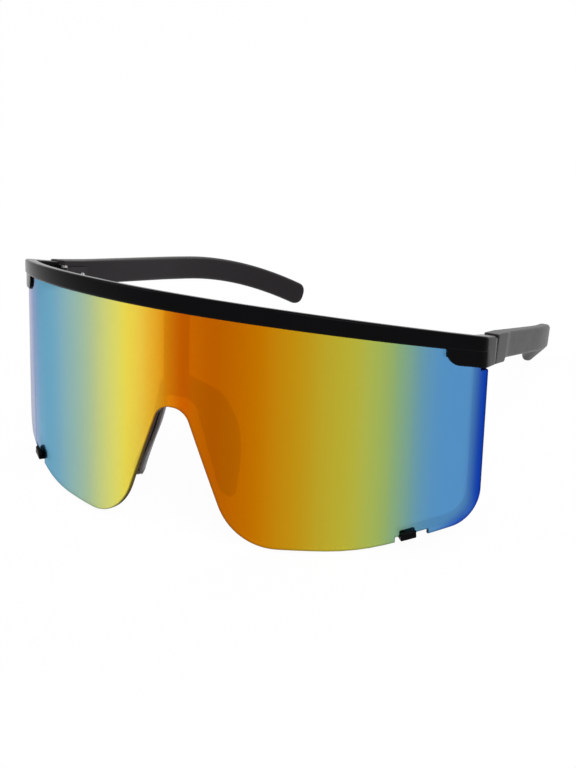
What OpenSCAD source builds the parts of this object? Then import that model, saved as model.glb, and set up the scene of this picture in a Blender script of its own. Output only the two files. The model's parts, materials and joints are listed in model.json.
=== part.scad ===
// Shield sunglasses: one wide wrapped lens hangs in the groove of a brow bar, clipped at its
// lower corners, with a nose bridge behind it and two temples on barrel hinges.
// X runs to the wearer's left, Y from the front to the ears and Z up, in millimetres.
// The glasses stand on a table: on the lens's lower edge and on the two temple tips.
// The front is drawn in the lens's own upright, with the middle of the brow bar's lower front
// edge at zero, and the whole is then leaned back until the tips touch the table.

/* [Wrap of the front] */
// Radius of the middle stretch of the front, seen from above
middle_r = 68; // [60:1:80]
// Radius of the two side stretches, seen from above
side_r = 103; // [95:1:120]
// How far the middle stretch turns to each side, in degrees
middle_turn = 16; // [12:1:20]

/* [Brow bar] */
// Height of the bar at its middle
bar_h = 5; // [4.5:0.1:6]
// Depth of the bar from front to back
bar_d = 3.8; // [3.6:0.1:5]
// Slope of the bar down towards the temples, in degrees
bar_rake = 13.5; // [10:0.5:16]
// How much the bar's top slopes more than its underside, in degrees
bar_taper = 0.9; // [0:0.1:1.2]
// Depth of the groove that the lens sits in
groove_d = 2.4; // [2:0.1:3]

/* [Corners] */
// Radius that turns the front into the sides
corner_r = 4; // [2:0.5:6]
// How far each corner block drops below the bar
block_drop = 4.1; // [3:0.1:5]
// How far each corner block lies back from the bar's front
block_recess = 0.35; // [0.2:0.05:0.5]
// Where the corner blocks begin, along the lens from its middle
block_s = 72; // [70:0.1:75]
// Radius of the blocks' lower inner corners
block_r = 2; // [1:0.1:3]
// How much the side's underside rises to the hinge, in degrees
side_rise = 2; // [0:0.5:5]

/* [Lens] */
// Thickness of the lens
lens_t = 1.8; // [1.4:0.1:2]
// How far the lens's front lies behind the bar's front
lens_inset = 1; // [0.9:0.05:1.2]
// Width of the lens along its curve
lens_w = 168.8; // [164:0.2:172]
// Drop of the lens below the bar, at its lobes
lens_drop = 61.9; // [56:0.1:66]
// Height of the lens's outer lower corners above the lobes
lens_cheek_rise = 6.8; // [5:0.1:8]
// Where the lower edge starts to rise, along the lens from its middle
lens_cheek_s = 50; // [46:0.5:54]
// Radius of the outer lower corners
lens_corner_r = 10; // [8:0.5:12]
// How much each upper end of the lens is let in where it goes into the frame
lens_tab_in = 2.2; // [1.8:0.1:3]
// Radius of the bend where the lower edge starts to rise
lens_cheek_r = 80; // [60:5:100]

/* [Nose notch in the lens] */
// Drop of the notch's top below the bar
notch_drop = 26.1; // [24:0.1:30]
// Half width of the notch's top
notch_top_w = 3.8; // [3.5:0.1:5]
// Slope of the notch's sides from upright, in degrees
notch_slope = 21.3; // [18:0.1:24]
// Radius of the notch's top
notch_top_r = 5; // [3:0.5:5]
// Radius from the notch into the lower edge
lobe_r = 17; // [12:0.5:18]

/* [Side rims and hooks] */
// Width of the rim behind the lens's edge
rim_w = 2.4; // [2:0.1:3]
// Depth of the rim from front to back
rim_d = 2.2; // [1.8:0.1:3]
// How far the rim stays inside the lens's edge
rim_set = 0.4; // [0.2:0.1:0.8]
// Where the middle of each hook lies, along the lens from its middle
hook_s = 63.9; // [62:0.1:66]
// Width of each hook
hook_w = 4.2; // [3.6:0.1:5]
// Height of the hook's lip in front of the lens
hook_lip_h = 2.6; // [2.2:0.1:3]
// How far the lip stands in front of the lens
hook_lip_t = 1.1; // [0.8:0.1:1.4]
// Width of the notch in the lens for each hook
hook_notch_w = 9; // [7:0.1:10]
// Depth of that notch
hook_notch_d = 1.4; // [1.1:0.1:1.6]

/* [Nose bridge] */
// Width of the post that hangs from the bar
post_w = 7.2; // [6:0.1:9]
// Depth of the post from front to back
post_d = 1.6; // [1.4:0.1:2.4]
// Half spread of the wings
wing_spread = 15.6; // [14:0.1:17]
// Depth of the wings from front to back
wing_d = 11.3; // [10:0.1:13]
// Height of the wings, from the arch to their lower ends
wing_h = 29; // [26:0.1:31]
// Drop of the arch's top below the bar, at its front
arch_drop = 22.2; // [21:0.1:23]
// Thickness of the wings
wing_t = 1.5; // [1.2:0.1:1.8]
// Thickness of the soft pads on the wings
pad_t = 1.1; // [0.8:0.1:1.5]
// Radius of the two pegs that hold the post in the bar
peg_r = 0.6; // [0.5:0.05:0.65]
// Length of the pegs in the bar
peg_l = 1.6; // [1.2:0.1:2]
// Distance from each peg to the middle
peg_x = 2.4; // [1.8:0.1:2.6]

/* [Hinges] */
// Distance from the lens's edge back to each hinge pin
hinge_back = 7.8; // [7.5:0.1:12]
// How far the side's outer face lies inside the lens's edge, at the pin
side_in = 1.2; // [0.5:0.1:3]
// Distance from the pin to the outer face of the side
hinge_out = 5.2; // [5:0.1:5.6]
// Radius of the hinge pins
pin_r = 0.75; // [0.6:0.05:0.9]
// Radius of the hinge knuckles
knuckle_r = 1.5; // [1.4:0.05:1.7]
// Height of each hinge's middle knuckle
knuckle_h = 1.8; // [1.4:0.1:2]
// Thickness of the hinge leaves
leaf_t = 0.9; // [0.7:0.05:1]
// Length of the leaf on the front
leaf_front_l = 7.9; // [7:0.1:9]
// Length of the leaf on the temple
leaf_temple_l = 12; // [9:0.1:13]
// Radius of the leaf screws
leaf_screw_r = 0.6; // [0.5:0.05:0.7]
// Length of the leaf screws
leaf_screw_l = 2.6; // [2:0.1:3]
// Gap between the side and the temple
butt_gap = 0.3; // [0.2:0.05:0.5]

/* [Temples] */
// Slope of the temples against the front, in degrees
temple_rake = 12; // [10:0.5:14]
// Turn of the temples towards the head, in degrees
temple_splay = 5.8; // [3:0.1:7]
// How far the right arm rises and the left one drops, so that they fold past each other, in degrees
arm_skew = 1.6; // [0:0.1:3]
// Height of the temple's front block
temple_block_h = 8; // [7.4:0.1:8.6]
// Length of the temple's front block
temple_block_l = 10; // [8:0.1:12]
// Thickness of the temple's front block
temple_block_t = 4.4; // [4:0.1:4.6]
// Height of the arm
arm_h = 7.1; // [6:0.1:8]
// Thickness of the arm
arm_t = 3.8; // [3:0.1:4]
// Thickness of the arm at its tip
arm_tip_t = 2.8; // [2:0.1:3.5]
// Length of the bevel from the block to the arm
arm_bevel_l = 5; // [3:0.1:6]
// Length of the arm's straight stretch
arm_straight = 51; // [43:1:55]
// Length of the temple along its curve
temple_l = 117; // [108:1:122]
// Radius of the arm's turn towards the head
arm_turn_r = 138; // [120:1:155]
// Where the arm starts to bend down, along its curve
drop_start = 66; // [57:1:72]
// Radius of that bend
drop_r = 140; // [120:1:170]
// Radius of the tip's corners
tip_r = 2.8; // [2:0.1:3]

/* [Hidden] */

// The fit of small parts, the overrun of cuts, and how far a cutter reaches
slip = 0.05;
over = 1;
reach = 120;
// Faces of a round part, and the turn between two points of a drawn curve, in degrees
fine = 96;
step_turn = 2;

// The plan of the front: two centres, with the front's turn measured from straight ahead
middle_c = [0, middle_r];
side_c = [(middle_r - side_r) * sin(middle_turn), middle_r - (middle_r - side_r) * cos(middle_turn)];
lens_half = lens_w / 2;
middle_s = (middle_r - lens_inset) * middle_turn * PI / 180;

function turn_at(s) = s <= middle_s ? s / (middle_r - lens_inset) * 180 / PI
    : middle_turn + (s - middle_s) / (side_r - lens_inset) * 180 / PI;
function plan_at(turn, inset) = turn <= middle_turn
    ? middle_c + (middle_r - inset) * [sin(turn), -cos(turn)]
    : side_c + (side_r - inset) * [sin(turn), -cos(turn)];
function lens_x(s) = sign(s) * plan_at(turn_at(abs(s)), lens_inset)[0];
function lens_y(s) = plan_at(turn_at(abs(s)), lens_inset)[1];
// The same for the lens's back, straight behind a point of its front
function lens_back_y(s) = let (x = abs(lens_x(s)), c = abs(s) < middle_s ? middle_c : side_c,
                               r = (abs(s) < middle_s ? middle_r : side_r) - lens_inset - lens_t)
    c[1] - sqrt(r * r - pow(x - c[0], 2));
lens_end_turn = turn_at(lens_half);

// Points round a corner b of a path a, b, c, with radius r
function unit(v) = v / norm(v);
function corner(a, b, c, r) =
    let (u = unit(a - b), v = unit(c - b), half = acos(max(-1, min(1, u * v))) / 2,
         m = b + unit(u + v) * r / sin(half), p = b + u * r / tan(half) - m,
         q = b + v * r / tan(half) - m, from = atan2(p[1], p[0]), full = atan2(q[1], q[0]) - from,
         turn = full > 180 ? full - 360 : full < -180 ? full + 360 : full,
         count = max(1, ceil(abs(turn) / (2 * step_turn))))
    [for (k = [0:count]) m + r * [cos(from + turn * k / count), sin(from + turn * k / count)]];
function flipped(points) = [for (k = [len(points) - 1:-1:0]) [-points[k][0], points[k][1]]];
function reversed(points) = [for (k = [len(points) - 1:-1:0]) points[k]];

// The lens's outline, as length along the lens and height, for a lens grown by d
cheek_slope = atan(lens_cheek_rise / (lens_half - lens_cheek_s));
function cheek_z(s, up) = -lens_drop + (s - lens_cheek_s) * tan(cheek_slope) + up / cos(cheek_slope);
function notch_at(z, d) = notch_top_w - d + (-z - notch_drop) * tan(notch_slope);
lens_shoulder = -lens_y(lens_half) * tan(bar_rake) - block_drop - 4 * slip;
function lens_half_outline(d) =
    let (top = bar_h, low = -lens_drop - d, side = lens_half + d, shoulder = lens_shoulder + d,
         a = [notch_at(-notch_drop, d), -notch_drop - d], b = [notch_at(low, d), low],
         c = [lens_cheek_s, low], e = [side, cheek_z(side, -d)], f = [side, shoulder],
         g = [side - lens_tab_in, shoulder])
    concat(corner([-a[0], a[1]], a, b, notch_top_r - d), corner(a, b, c, lobe_r),
           corner(b, c, e, lens_cheek_r), corner(c, e, f, lens_corner_r),
           corner(e, f, g, lens_tab_in / 6), [g, [g[0], top]]);
function lens_outline(d = 0) = concat(lens_half_outline(d), flipped(lens_half_outline(d)));

// The front's turns from its middle to one end, and a line along them, inset behind its face
middle_steps = ceil(middle_turn / step_turn);
function turns_to(end) = let (count = ceil((end - middle_turn) / step_turn))
    concat([for (k = [0:middle_steps]) middle_turn * k / middle_steps],
           [for (k = [1:count]) middle_turn + (end - middle_turn) * k / count]);
function line_to(end, inset) = [for (turn = turns_to(end)) plan_at(turn, inset)];
function across(points) = concat([for (k = [len(points) - 1:-1:1]) [-points[k][0], points[k][1]]], points);

// A band of the front's plan, t thick and starting inset behind the bar's front
module plan_band(inset, t, end_turn) {
    polygon(concat(across(line_to(end_turn, inset)), reversed(across(line_to(end_turn, inset + t)))));
}

// A shape given on the lens's surface, cut from a band of the front
module wrapped(points, inset, t, end_turn) {
    intersection() {
        translate([0, 0, -reach]) linear_extrude(2 * reach) plan_band(inset, t, end_turn);
        rotate([90, 0, 0]) translate([0, 0, -reach]) linear_extrude(2 * reach)
            polygon([for (p = points) [lens_x(p[0]), p[1]]]);
    }
}

// Everything above a plane that leaves the bar at height up and slopes back by slope degrees
module above(up, slope, y = 0) {
    translate([0, y, up]) rotate([-slope, 0, 0]) translate([-reach, -reach, 0])
        cube([2 * reach, 2 * reach, 2 * reach]);
}

module below(up, slope, y = 0) {
    translate([0, y, up]) rotate([-slope, 0, 0]) translate([-reach, -reach, -2 * reach])
        cube([2 * reach, 2 * reach, 2 * reach]);
}

// The hinge's own place: X outwards, Y back along the temple, Z along the pin
lens_end = plan_at(lens_end_turn, lens_inset);
hinge_x = lens_end[0] - side_in - hinge_out;
hinge_y = lens_end[1] + hinge_back;
hinge_z = -hinge_y * tan(bar_rake);
module at_hinge(side) {
    mirror([side < 0 ? 1 : 0, 0, 0]) translate([hinge_x, hinge_y, hinge_z])
        rotate([-temple_rake, 0, 0]) rotate([0, 0, temple_splay]) children();
}
function from_hinge(p) =
    let (x = p[0] * cos(temple_splay) - p[1] * sin(temple_splay),
         y = p[0] * sin(temple_splay) + p[1] * cos(temple_splay))
    [hinge_x + x, hinge_y + y * cos(temple_rake) + p[2] * sin(temple_rake),
     hinge_z - y * sin(temple_rake) + p[2] * cos(temple_rake)];

// The line of the side's outer face in plan, and the corner that it makes with the front
side_point = let (p = from_hinge([hinge_out, 0, 0])) [p[0], p[1]];
side_far = let (p = from_hinge([hinge_out, reach, 0])) [p[0], p[1]];
side_dir = unit(side_far - side_point);
side_normal = [side_dir[1], -side_dir[0]];
// The corner's centre lies corner_r inside both the side's line and the front's arc
corner_line = side_point - side_normal * corner_r;
corner_gap = side_c - corner_line;
corner_along = corner_gap * side_dir;
corner_off = corner_gap * side_normal;
corner_c = corner_line
    + side_dir * (corner_along - sqrt(pow(side_r - corner_r, 2) - corner_off * corner_off));
corner_turn = let (v = corner_c - side_c) atan2(v[0], -v[1]);
side_turn = atan2(side_normal[0], -side_normal[1]);
block_turn = turn_at(block_s);
end_t = temple_block_t;

// Plan of one corner with its side, with its front set back by inset
module corner_plan(inset, from_turn) {
    inner_r = side_r - bar_d;
    count = ceil((corner_turn - from_turn) / step_turn);
    bends = ceil((side_turn - corner_turn) / (2 * step_turn));
    back = side_point + side_dir * over * 2;
    polygon(concat(
        [for (k = [0:count]) let (turn = from_turn + (corner_turn - from_turn) * k / count)
            side_c + (side_r - inset) * [sin(turn), -cos(turn)]],
        [for (k = [1:bends]) let (turn = corner_turn + (side_turn - corner_turn) * k / bends,
                                  r = corner_r - inset * (1 - k / bends))
            corner_c + r * [sin(turn), -cos(turn)]],
        [back, back - side_normal * end_t],
        [side_c + inner_r * [sin(corner_turn - step_turn), -cos(corner_turn - step_turn)]
             + side_dir * end_t],
        [side_c + inner_r * [sin(from_turn), -cos(from_turn)]]));
}

// The side rim's outline, inside the lens's edge by d
function rim_path(d) =
    let (side = lens_half - d, foot = hook_s - hook_w / 2, b = [side, cheek_z(side, d)],
         a = [side, -block_drop], c = [foot, cheek_z(foot, d)])
    concat([a], corner(a, b, c, lens_corner_r - d), [c]);
function cheek_box(s, w, low, high) = [[s - w / 2, cheek_z(s - w / 2, low)],
    [s + w / 2, cheek_z(s + w / 2, low)], [s + w / 2, cheek_z(s + w / 2, high)],
    [s - w / 2, cheek_z(s - w / 2, high)]];
rim_inset = lens_inset + lens_t + slip;
rim_shape = concat(rim_path(rim_set), reversed(rim_path(rim_set + rim_w)));
lip_inset = lens_inset - slip - hook_lip_t;

// The lens's slot in the frame, larger than the lens by slip all round
module lens_slot() {
    intersection() {
        wrapped(lens_outline(slip), lens_inset - slip, lens_t + 2 * slip, turn_at(lens_half + slip));
        below(groove_d, bar_rake);
    }
}

module bar() {
    intersection() {
        translate([0, 0, -reach]) linear_extrude(2 * reach) plan_band(0, bar_d, block_turn + step_turn);
        above(0, bar_rake);
        below(bar_h, bar_rake + bar_taper);
    }
}

// The corner block's face from the front, with its rounded inner lower corner
block_p = plan_at(block_turn, 0);
module block_window() {
    top = -block_p[1] * tan(bar_rake) + bar_h;
    low = top - bar_h - block_drop;
    far = [block_p[0] + end_t, low - end_t * tan(bar_rake)];
    rotate([90, 0, 0]) translate([0, 0, -reach]) linear_extrude(2 * reach)
        polygon(concat([[reach, top], [block_p[0], top]],
            corner([block_p[0], top], [block_p[0], low], far, block_r), [[reach, low - reach]]));
}

module side_part(inset, up) {
    intersection() {
        translate([0, 0, -reach]) linear_extrude(2 * reach) corner_plan(inset, block_turn);
        above(up, bar_rake);
    }
}

module side_piece() {
    intersection() {
        union() {
            side_part(0, 0);
            intersection() {
                side_part(block_recess, -block_drop);
                block_window();
            }
        }
        below(bar_h, bar_rake + bar_taper);
        side_underside();
        hinge_butt();
    }
}

// Keeps what lies in front of the gap at the hinge
module hinge_butt() {
    at_hinge(1) translate([-reach, -2 * reach - butt_gap / 2, -reach])
        cube([2 * reach, 2 * reach, 2 * reach]);
}

// Keeps what lies above the side's rising underside
module side_underside() {
    at_hinge(1) translate([0, 0, -temple_block_h / 2 + (bar_h - block_drop) / 2])
        rotate([side_rise, 0, 0]) translate([-reach, -reach, 0])
            cube([2 * reach, 2 * reach, 2 * reach]);
}

// Room for the hinge's knuckles, and the pocket of a leaf with its screw holes
knuckle_room = knuckle_r + 6 * slip;
hinge_h = 3 * knuckle_h;
leaf_x = hinge_out - end_t - leaf_t / 2;
leaf_root = knuckle_r + 4 * slip;
leaf_head_r = 1.75 * leaf_screw_r;
leaf_head_h = leaf_screw_r / 2;
leaf_screw_shares = [0.36, 0.76];
function leaf_screw_places(length) = [for (share = leaf_screw_shares)
    leaf_root + (length - leaf_root) * share];

module hinge_room() {
    translate([0, 0, -reach]) cylinder(r = knuckle_room, h = 2 * reach, $fn = fine);
}

module leaf_pocket(length, way) {
    from = way > 0 ? 0 : -length - slip;
    translate([leaf_x - 2 * end_t, from, -hinge_h / 2 - slip])
        cube([2 * end_t + leaf_t + slip, length + slip, hinge_h + 2 * slip]);
    for (y = leaf_screw_places(length)) translate([leaf_x, way * y, 0]) rotate([0, 90, 0])
        cylinder(r = leaf_screw_r + slip / 2, h = leaf_screw_l + slip, $fn = fine);
}

// The hook's foot goes through the lens's own notch, so the slot for the lens isn't cut from it
module hook() {
    low = hook_notch_d / 3;
    wrapped(cheek_box(hook_s, hook_w, low, hook_notch_d - 2 * slip),
            lip_inset, rim_inset + rim_d - lip_inset, lens_end_turn);
    wrapped(cheek_box(hook_s, hook_w, low, hook_lip_h), lip_inset, hook_lip_t, lens_end_turn);
}

module front_body() {
    bar();
    for (side = [0, 1]) mirror([side, 0, 0]) {
        side_piece();
        intersection() {
            wrapped(rim_shape, rim_inset, rim_d, lens_end_turn);
            below(0, bar_rake);
        }
    }
}

module front_frame() {
    color([0.05, 0.05, 0.06]) difference() {
        union() {
            difference() {
                front_body();
                lens_slot();
            }
            for (side = [0, 1]) mirror([side, 0, 0]) hook();
        }
        for (side = [-1, 1]) at_hinge(side) {
            hinge_room();
            leaf_pocket(leaf_front_l, -1);
        }
        post(slip);
    }
}

module lens() {
    color([0.85, 0.62, 0.2, 0.8]) difference() {
        intersection() {
            wrapped(lens_outline(), lens_inset, lens_t, lens_end_turn);
            below(groove_d - 2 * slip, bar_rake);
        }
        for (side = [0, 1]) mirror([side, 0, 0])
            wrapped(cheek_box(hook_s + (hook_notch_w - hook_w) / 4, hook_notch_w, -over, hook_notch_d),
                    lens_inset - over, lens_t + 2 * over, lens_end_turn);
    }
}

// The post hangs behind the bar and the lens, let into the bar's back by post_seat, and its
// pegs go into the bar between the groove and the top
post_seat = 0.4;
post_y = bar_d - post_seat;
post_drop = arch_drop + wing_t / 2;
post_top = bar_h - 4 * slip;
peg_z = (bar_h - post_y * tan(bar_rake + bar_taper) + groove_d - post_y * tan(bar_rake)) / 2;
module post(grow) {
    intersection() {
        translate([-post_w / 2 - grow, post_y - grow, -post_drop])
            cube([post_w + 2 * grow, post_d + post_seat + grow, post_drop + bar_h + over]);
        below(post_top + grow, bar_rake + bar_taper);
    }
    for (x = [-peg_x, peg_x]) translate([x, post_y - peg_l - grow, peg_z]) rotate([-90, 0, 0])
        cylinder(r = peg_r + grow / 2, h = peg_l + peg_r + grow, $fn = fine);
}

// The wing's front and back edges from the arch's middle to the lower end, as shares of the
// wings' spread, depth and height
wing_front_shares = [[0, 0, 0], [0.14, 0, 0.01], [0.28, 0.01, 0.05], [0.40, 0.05, 0.12],
    [0.47, 0.10, 0.21], [0.55, 0.14, 0.33], [0.63, 0.14, 0.46], [0.73, 0.12, 0.60],
    [0.83, 0.09, 0.73], [0.90, 0.10, 0.85], [0.93, 0.20, 0.95]];
wing_back_shares = [[0, 0.55, -0.105], [0.25, 0.55, -0.07], [0.44, 0.56, -0.035], [0.60, 0.62, 0.01],
    [0.69, 0.80, 0.12], [0.78, 0.97, 0.28], [0.87, 0.98, 0.45], [0.935, 0.85, 0.60],
    [0.97, 0.69, 0.73], [0.995, 0.54, 0.85], [1, 0.42, 0.95]];
wing_y = bar_d + post_d / 4;
// Each pad starts at this share of the wing's stations from the arch's middle
pad_start_share = 0.3;
pad_from = round(pad_start_share * (len(wing_front_shares) - 1));
function wing_edge(shares) = [for (p = shares)
    [p[0] * wing_spread, wing_y + p[1] * wing_d, -arch_drop - p[2] * wing_h]];
// Which way the wing's outer side faces at a station, square to its edge and its width
function wing_way(front, back, k) =
    let (last = len(front) - 1, along = front[min(k + 1, last)] - front[max(k - 1, 0)],
         across = back[k] - front[k], n = cross(across, along))
    k == 0 ? [0, -n[1], -n[2]] / norm([0, n[1], n[2]]) * -1 : n / norm(n);

// A wing as four edges: near and far from the nose, at the front and at the back
function ribbon(low, high) =
    let (front = wing_edge(wing_front_shares), back = wing_edge(wing_back_shares),
         last = len(front) - 1)
    [for (k = [0:last]) let (n = wing_way(front, back, k))
        [front[k] + n * low, back[k] + n * low, back[k] + n * high, front[k] + n * high]];

module ribbon_solid(low, high, from) {
    rings = ribbon(low, high);
    last = len(rings) - 1;
    count = last - from + 1;
    points = [for (k = [from:last]) each rings[k]];
    faces = concat([[0, 2, 1], [0, 3, 2]],
        [for (k = [0:count - 2], j = [0:3]) let (a = 4 * k + j, b = 4 * k + (j + 1) % 4)
            each j == 2 ? [[a, b, a + 4], [b, b + 4, a + 4]] : [[a, b + 4, a + 4], [a, b, b + 4]]],
        let (a = 4 * (count - 1)) [[a, a + 1, a + 2], [a, a + 2, a + 3]]);
    polyhedron(points = points, faces = faces);
}

module nose_bridge() {
    color([0.06, 0.06, 0.07]) {
        post(0);
        for (side = [0, 1]) mirror([side, 0, 0]) ribbon_solid(0, wing_t, 0);
    }
}

module nose_pad(side) {
    low = wing_t + slip;
    color([0.3, 0.29, 0.3]) mirror([side < 0 ? 1 : 0, 0, 0]) ribbon_solid(low, low + pad_t, pad_from);
}

module knuckle(low, high) {
    difference() {
        translate([0, 0, low]) cylinder(r = knuckle_r, h = high - low, $fn = fine);
        translate([0, 0, low - over]) cylinder(r = pin_r + slip, h = high - low + 2 * over, $fn = fine);
    }
}

module leaf_plate(length, way) {
    difference() {
        translate([leaf_x, way > 0 ? leaf_root : -length, -hinge_h / 2])
            cube([leaf_t, length - leaf_root, hinge_h]);
        for (y = leaf_screw_places(length)) translate([leaf_x - over, way * y, 0]) rotate([0, 90, 0])
            cylinder(r = leaf_screw_r + slip / 2, h = leaf_t + 2 * over, $fn = fine);
    }
}

module leaf_web(low, high, way) {
    difference() {
        translate([leaf_x, way > 0 ? 0 : -leaf_root - slip, low])
            cube([leaf_t, leaf_root + slip, high - low]);
        translate([0, 0, low - over]) cylinder(r = pin_r + slip, h = high - low + 2 * over, $fn = fine);
    }
}

module hinge_front_leaf(side) {
    color([0.72, 0.72, 0.74]) at_hinge(side) {
        leaf_plate(leaf_front_l, -1);
        for (low = [-hinge_h / 2, knuckle_h / 2]) {
            knuckle(low, low + knuckle_h);
            leaf_web(low, low + knuckle_h, -1);
        }
    }
}

module hinge_temple_leaf(side) {
    color([0.72, 0.72, 0.74]) at_hinge(side) {
        leaf_plate(leaf_temple_l, 1);
        knuckle(-knuckle_h / 2 + slip, knuckle_h / 2 - slip);
        leaf_web(-knuckle_h / 2 + slip, knuckle_h / 2 - slip, 1);
    }
}

pin_head_r = 1.7 * pin_r;
pin_head_h = 0.8 * pin_r;
module hinge_pin(side) {
    color([0.85, 0.85, 0.87]) at_hinge(side) difference() {
        union() {
            translate([0, 0, -hinge_h / 2]) cylinder(r = pin_r, h = hinge_h, $fn = fine);
            translate([0, 0, hinge_h / 2]) cylinder(r = pin_head_r, h = pin_head_h, $fn = fine);
        }
        translate([-reach, -pin_r / 4, (hinge_h + pin_head_h) / 2])
            cube([2 * reach, pin_r / 2, pin_head_h]);
    }
}

module leaf_screws(side, length, way) {
    color([0.8, 0.8, 0.82]) at_hinge(side)
        for (y = leaf_screw_places(length)) translate([leaf_x, way * y, 0]) rotate([0, 90, 0]) {
            cylinder(r = leaf_screw_r, h = leaf_screw_l, $fn = fine);
            difference() {
                translate([0, 0, -leaf_head_h]) cylinder(r = leaf_head_r, h = leaf_head_h, $fn = fine);
                translate([-over, -leaf_screw_r / 4, -leaf_head_h - over])
                    cube([2 * over, leaf_screw_r / 2, over + leaf_head_h / 2]);
            }
        }
}

// The temple from above: its inner face, then its outer face, at length l along its curve
arm_in = hinge_out - temple_block_t;
function arm_turn(l) = max(0, l - arm_straight) / arm_turn_r * 180 / PI;
function arm_plan(l, x) = let (turn = arm_turn(l), r = arm_turn_r + x)
    l <= arm_straight ? [x, l] : [r * cos(turn) - arm_turn_r, arm_straight + r * sin(turn)];
function arm_out(l) = arm_in + (l < arm_straight ? arm_t
    : arm_t + (arm_tip_t - arm_t) * (l - arm_straight) / (temple_l - arm_straight));
arm_count = ceil(arm_turn(temple_l) / step_turn);
arm_stations = [for (k = [0:arm_count]) arm_straight + (temple_l - arm_straight) * k / arm_count];

module temple_plan() {
    polygon(concat(
        [[arm_in, butt_gap / 2], [hinge_out, butt_gap / 2], [hinge_out, temple_block_l],
         [arm_out(0), temple_block_l + arm_bevel_l]],
        [for (l = arm_stations) arm_plan(l, arm_out(l))],
        [for (l = reversed(arm_stations)) arm_plan(l, arm_in)]));
}

// The temple from the side, where the bend down follows the length along the curve
arm_top = temple_block_h / 2 + (bar_h - block_drop) / 2;
arm_mid = arm_top - arm_h / 2;
function arm_side(l, up) = let (turn = max(0, l - drop_start) / drop_r * 180 / PI, r = drop_r + up)
    l <= drop_start ? [l, arm_mid + up]
        : [drop_start + r * sin(turn), arm_mid + r * cos(turn) - drop_r];
function flat_y(l) = l <= arm_straight ? l : arm_plan(l, arm_in)[1];
side_stations = [for (k = [0:arm_count]) drop_start + (temple_l - drop_start) * k / arm_count];
temple_low = concat(
    [for (l = side_stations) if (l < temple_l - tip_r) arm_side(l, -arm_h / 2)],
    corner(arm_side(temple_l - 2 * tip_r, -arm_h / 2), arm_side(temple_l, -arm_h / 2),
           arm_side(temple_l, arm_h / 2), tip_r));
temple_high = concat(
    corner(arm_side(temple_l, -arm_h / 2), arm_side(temple_l, arm_h / 2),
           arm_side(temple_l - 2 * tip_r, arm_h / 2), tip_r),
    [for (l = reversed(side_stations)) if (l < temple_l - tip_r) arm_side(l, arm_h / 2)]);

function arm_rise(y, side) = -side * tan(arm_skew) * max(0, y - temple_block_l);
module temple_side(side) {
    block_low_z = arm_top - temple_block_h;
    points = concat([[0, arm_top], [0, block_low_z], [temple_block_l, block_low_z],
                     [temple_block_l, arm_mid - arm_h / 2]], temple_low, temple_high);
    polygon([for (p = points) let (y = flat_y(p[0])) [y, p[1] + arm_rise(y, side)]]);
}

module temple(side) {
    color([0.24, 0.24, 0.26]) at_hinge(side) difference() {
        intersection() {
            translate([0, 0, -reach]) linear_extrude(2 * reach) temple_plan();
            rotate([90, 0, 90]) translate([0, 0, -reach]) linear_extrude(2 * reach) temple_side(side);
        }
        hinge_room();
        leaf_pocket(leaf_temple_l, 1);
    }
}

// The lean that brings the temple tips down to the table, found in a few rounds
lens_foot = [for (p = lens_half_outline(0)) [lens_back_y(p[0]), p[1]]];
tip_foot = [for (p = temple_low) let (q = arm_plan(p[0], arm_in), x = q[0] + arm_tip_t / cos(arm_turn(p[0])),
                                      w = from_hinge([x, q[1], p[1] + arm_rise(q[1], 1)])) [w[1], w[2]]];
function height(p, lean) = p[1] * cos(lean) - p[0] * sin(lean);
function lowest(points, lean) = let (h = [for (p = points) height(p, lean)]) points[search(min(h), h)[0]];
function lean_from(lean, rounds) = rounds <= 0 ? lean
    : let (v = lowest(tip_foot, lean) - lowest(lens_foot, lean)) lean_from(atan2(v[1], v[0]), rounds - 1);
lean_rounds = 6;
lean = lean_from(0, lean_rounds);
foot_z = height(lowest(lens_foot, lean), lean);
function depth(p) = p[0] * cos(lean) + p[1] * sin(lean);
front_y = min([for (p = lens_half_outline(0)) depth([lens_y(p[0]), p[1]])]);
back_y = max([for (p = concat(temple_low, temple_high), x = [arm_in, arm_out(temple_l)], side = [-1, 1])
    let (q = arm_plan(p[0], x), w = from_hinge([q[0], q[1], p[1] + arm_rise(q[1], side)]))
        depth([w[1], w[2]])]);

module standing() {
    translate([0, -(front_y + back_y) / 2, -foot_z]) rotate([-lean, 0, 0]) children();
}

echo(lean = lean, front_y = front_y, back_y = back_y, foot_z = foot_z, hinge_x = hinge_x, hinge_y = hinge_y);

standing() {
    front_frame();
    lens();
    nose_bridge();
    nose_pad(1);  // nose_pad_left
    nose_pad(-1);  // nose_pad_right
    hinge_front_leaf(1);  // hinge_front_leaf_left
    hinge_front_leaf(-1);  // hinge_front_leaf_right
    hinge_temple_leaf(1);  // hinge_temple_leaf_left
    hinge_temple_leaf(-1);  // hinge_temple_leaf_right
    hinge_pin(1);  // hinge_pin_left
    hinge_pin(-1);  // hinge_pin_right
    leaf_screws(1, leaf_front_l, -1);  // front_leaf_screws_left
    leaf_screws(-1, leaf_front_l, -1);  // front_leaf_screws_right
    leaf_screws(1, leaf_temple_l, 1);  // temple_leaf_screws_left
    leaf_screws(-1, leaf_temple_l, 1);  // temple_leaf_screws_right
    temple(1);  // temple_left
    temple(-1);  // temple_right
}
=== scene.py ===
"""Shield sunglasses: the looks of every piece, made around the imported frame.

Shapes are worked out in millimetres in the lens's own frame: its origin is the middle of the bar's
lower front edge, X runs to the wearer's left, Y back along the arms and Z up along the lens.
"""
import bmesh
import bpy
import json
import math
from mathutils import Matrix, Vector


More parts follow.
